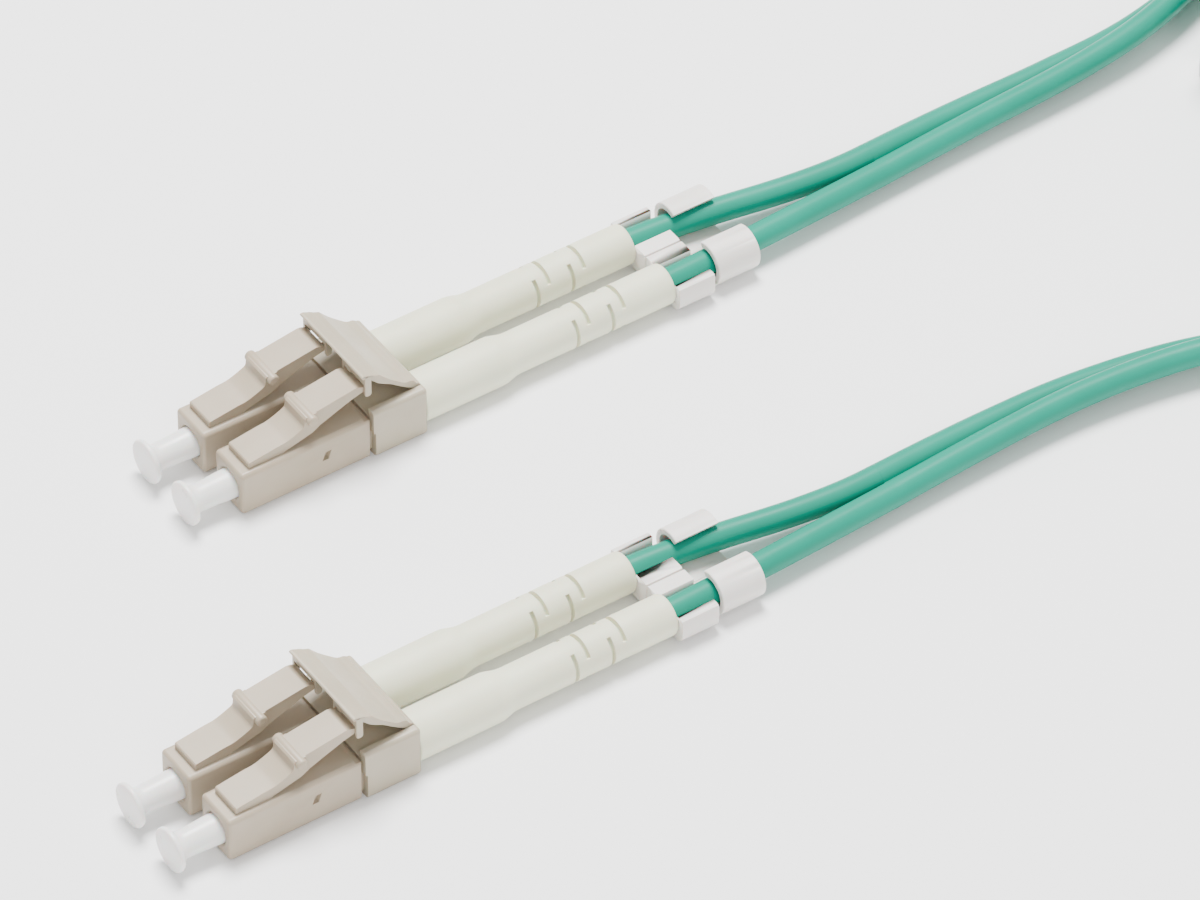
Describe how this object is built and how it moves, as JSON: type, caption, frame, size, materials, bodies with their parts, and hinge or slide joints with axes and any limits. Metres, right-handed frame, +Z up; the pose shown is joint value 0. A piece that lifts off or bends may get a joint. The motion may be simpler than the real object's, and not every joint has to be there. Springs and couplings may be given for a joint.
{
  "type": "fiber optic patch cord",
  "caption": "Duplex fibre patch cord: flat two-fibre aqua cord with a latched push-pull plug pair, boots, cable holders and dust caps on both ends.",
  "frame": {"origin": "on the floor, under the middle of the box around the two plug ends", "axes": "+X runs back along the plugs, away from their ferrules; +Y to the side; +Z up, the latch side"},
  "size_m": [0.1846, 0.0617, 0.0106],
  "materials": {
    "housing_beige": "satin moulded",
    "clip_beige": "satin moulded",
    "dust_cap": "soft translucent white",
    "boot_white": "soft elastomer, cream white",
    "holder_white": "moulded, white",
    "jacket_aqua": "smooth extruded jacket, aqua",
    "tie_white": "smooth",
    "ferrule_ceramic": "polished",
    "hub_metal": "nickel plated",
    "spring_steel": "drawn wire",
    "nickel": "nickel plated",
    "crimp_metal": "drawn tube",
    "fibre_buffer": "extruded buffer"
  },
  "bodies": {
    "cord_and_plugs": {"backbone_a1": "nickel", "backbone_a2": "nickel", "backbone_b1": "nickel", "backbone_b2": "nickel", "boot_a1": "boot_white", "boot_a2": "boot_white", "boot_b1": "boot_white", "boot_b2": "boot_white", "cable_holder_a1": "holder_white", "cable_holder_a2": "holder_white", "cable_holder_b1": "holder_white", "cable_holder_b2": "holder_white", "cable_leg_a1": "jacket_aqua", "cable_leg_a2": "jacket_aqua", "cable_leg_b1": "jacket_aqua", "cable_leg_b2": "jacket_aqua", "coil": "jacket_aqua", "coil_tie_1": "tie_white", "coil_tie_2": "tie_white", "crimp_sleeve_a1": "crimp_metal", "crimp_sleeve_a2": "crimp_metal", "crimp_sleeve_b1": "crimp_metal", "crimp_sleeve_b2": "crimp_metal", "duplex_clip_a": "clip_beige", "duplex_clip_b": "clip_beige", "ferrule_spring_a1": "spring_steel", "ferrule_spring_a2": "spring_steel", "ferrule_spring_b1": "spring_steel", "ferrule_spring_b2": "spring_steel", "flat_cord_a": "jacket_aqua", "flat_cord_b": "jacket_aqua", "housing_a1": "housing_beige", "housing_a2": "housing_beige", "housing_b1": "housing_beige", "housing_b2": "housing_beige"},
    "trigger_a": {"trigger_a": "clip_beige"},
    "latch_a1": {"latch_a1": "housing_beige"},
    "ferrule_a1": {"ferrule_a1": "ferrule_ceramic", "ferrule_hub_a1": "hub_metal", "fibre_a1": "fibre_buffer"},
    "dust_cap_a1": {"dust_cap_a1": "dust_cap"},
    "latch_a2": {"latch_a2": "housing_beige"},
    "ferrule_a2": {"ferrule_a2": "ferrule_ceramic", "ferrule_hub_a2": "hub_metal", "fibre_a2": "fibre_buffer"},
    "dust_cap_a2": {"dust_cap_a2": "dust_cap"},
    "trigger_b": {"trigger_b": "clip_beige"},
    "latch_b1": {"latch_b1": "housing_beige"},
    "ferrule_b1": {"ferrule_b1": "ferrule_ceramic", "ferrule_hub_b1": "hub_metal", "fibre_b1": "fibre_buffer"},
    "dust_cap_b1": {"dust_cap_b1": "dust_cap"},
    "latch_b2": {"latch_b2": "housing_beige"},
    "ferrule_b2": {"ferrule_b2": "ferrule_ceramic", "ferrule_hub_b2": "hub_metal", "fibre_b2": "fibre_buffer"},
    "dust_cap_b2": {"dust_cap_b2": "dust_cap"}
  },
  "joints": [
    {"name": "trigger_press_a", "type": "hinge", "parent": "cord_and_plugs", "child": "trigger_a", "pos_m": [-0.01808, -0.0172, 0.0052], "axis": [0, -1, 0], "range_deg": [0, 10], "stiffness_Nm_per_rad": 0.05},
    {"name": "latch_flex_a1", "type": "hinge", "parent": "cord_and_plugs", "child": "latch_a1", "pos_m": [-0.03177, -0.02032, 0.00515], "axis": [0, 1, 0], "range_deg": [0, 7]},
    {"name": "ferrule_float_a1", "type": "slide", "parent": "cord_and_plugs", "child": "ferrule_a1", "axis": [1, 0, 0], "range_m": [0, 0.0007], "stiffness_N_per_m": 500, "deforming": ["ferrule_spring_a1"]},
    {"name": "dust_cap_pull_a1", "type": "slide", "parent": "cord_and_plugs", "child": "dust_cap_a1", "axis": [-1, 0, 0], "range_m": [0, 0.008]},
    {"name": "latch_flex_a2", "type": "hinge", "parent": "cord_and_plugs", "child": "latch_a2", "pos_m": [-0.03177, -0.01408, 0.00515], "axis": [0, 1, 0], "range_deg": [0, 7]},
    {"name": "ferrule_float_a2", "type": "slide", "parent": "cord_and_plugs", "child": "ferrule_a2", "axis": [1, 0, 0], "range_m": [0, 0.0007], "stiffness_N_per_m": 500, "deforming": ["ferrule_spring_a2"]},
    {"name": "dust_cap_pull_a2", "type": "slide", "parent": "cord_and_plugs", "child": "dust_cap_a2", "axis": [-1, 0, 0], "range_m": [0, 0.008]},
    {"name": "trigger_press_b", "type": "hinge", "parent": "cord_and_plugs", "child": "trigger_b", "pos_m": [0.00522, 0.0172, 0.0052], "axis": [0, -1, 0], "range_deg": [0, 10], "stiffness_Nm_per_rad": 0.05},
    {"name": "latch_flex_b1", "type": "hinge", "parent": "cord_and_plugs", "child": "latch_b1", "pos_m": [-0.00847, 0.01408, 0.00515], "axis": [0, 1, 0], "range_deg": [0, 7]},
    {"name": "ferrule_float_b1", "type": "slide", "parent": "cord_and_plugs", "child": "ferrule_b1", "axis": [1, 0, 0], "range_m": [0, 0.0007], "stiffness_N_per_m": 500, "deforming": ["ferrule_spring_b1"]},
    {"name": "dust_cap_pull_b1", "type": "slide", "parent": "cord_and_plugs", "child": "dust_cap_b1", "axis": [-1, 0, 0], "range_m": [0, 0.008]},
    {"name": "latch_flex_b2", "type": "hinge", "parent": "cord_and_plugs", "child": "latch_b2", "pos_m": [-0.00847, 0.02032, 0.00515], "axis": [0, 1, 0], "range_deg": [0, 7]},
    {"name": "ferrule_float_b2", "type": "slide", "parent": "cord_and_plugs", "child": "ferrule_b2", "axis": [1, 0, 0], "range_m": [0, 0.0007], "stiffness_N_per_m": 500, "deforming": ["ferrule_spring_b2"]},
    {"name": "dust_cap_pull_b2", "type": "slide", "parent": "cord_and_plugs", "child": "dust_cap_b2", "axis": [-1, 0, 0], "range_m": [0, 0.008]}
  ],
  "couplings": [
    {"joint": "latch_flex_a1", "follows": "trigger_press_a", "ratio": 0.7},
    {"joint": "latch_flex_a2", "follows": "trigger_press_a", "ratio": 0.7},
    {"joint": "latch_flex_b1", "follows": "trigger_press_b", "ratio": 0.7},
    {"joint": "latch_flex_b2", "follows": "trigger_press_b", "ratio": 0.7}
  ]
}
